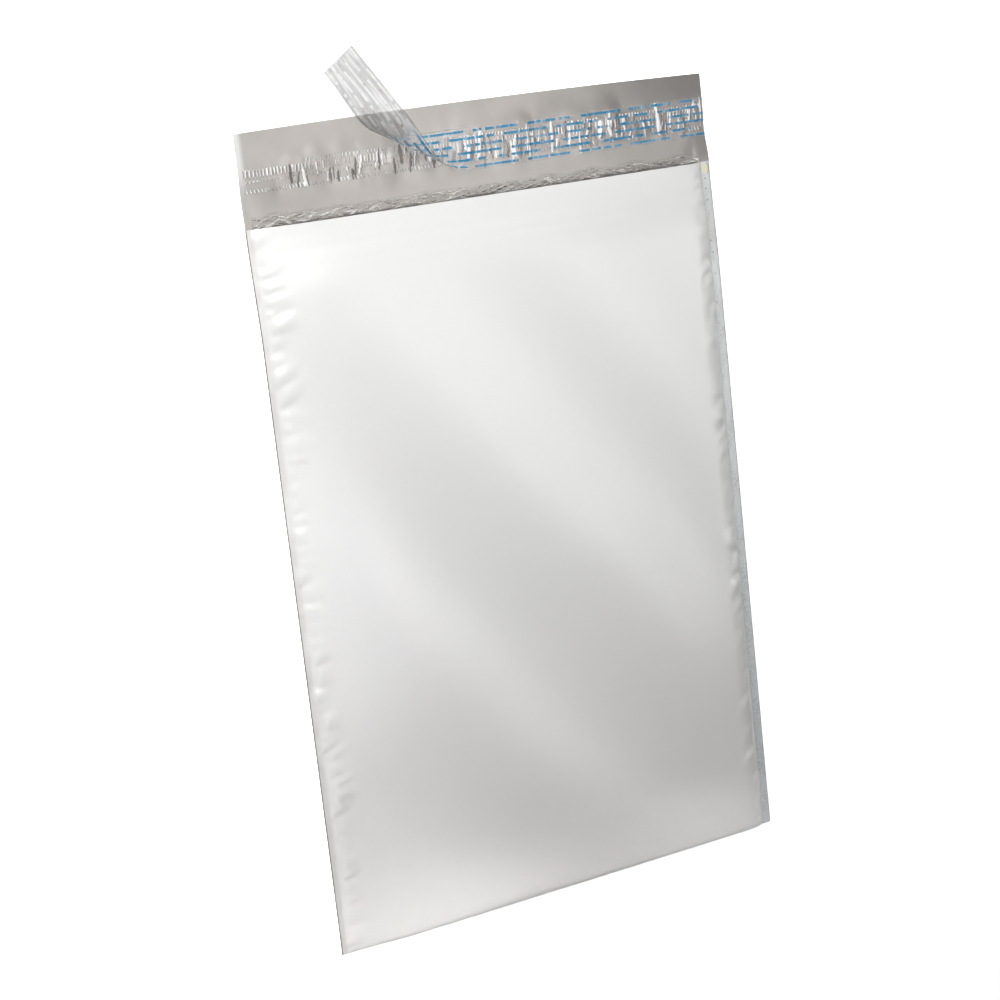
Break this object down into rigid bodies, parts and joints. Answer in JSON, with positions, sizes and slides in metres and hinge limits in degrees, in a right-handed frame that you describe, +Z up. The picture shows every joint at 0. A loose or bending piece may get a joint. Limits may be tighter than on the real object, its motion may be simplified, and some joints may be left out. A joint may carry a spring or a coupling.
{
  "type": "padded poly mailer",
  "caption": "Padded poly mailer: white film pouch with a bubble lining, welded sides, an open grey flap, an adhesive strip and a half-peeled release film.",
  "frame": {"origin": "middle of the flat back panel, on the surface that the mailer lies on", "axes": "+X across the pouch, +Y from the bottom fold to the flap, +Z up out of the front panel"},
  "size_m": [0.216, 0.3634, 0.0197],
  "materials": {
    "film": "satin white film, grey on its inner face",
    "lining": "milky bubble film",
    "adhesive": "wrinkled tacky band",
    "release_film": "clear glossy film with rows of blue dashes"
  },
  "bodies": {
    "root": {"outer_pouch": "film", "bubble_lining": "lining", "adhesive_strip": "adhesive", "release_liner": "release_film"}
  },
  "joints": []
}
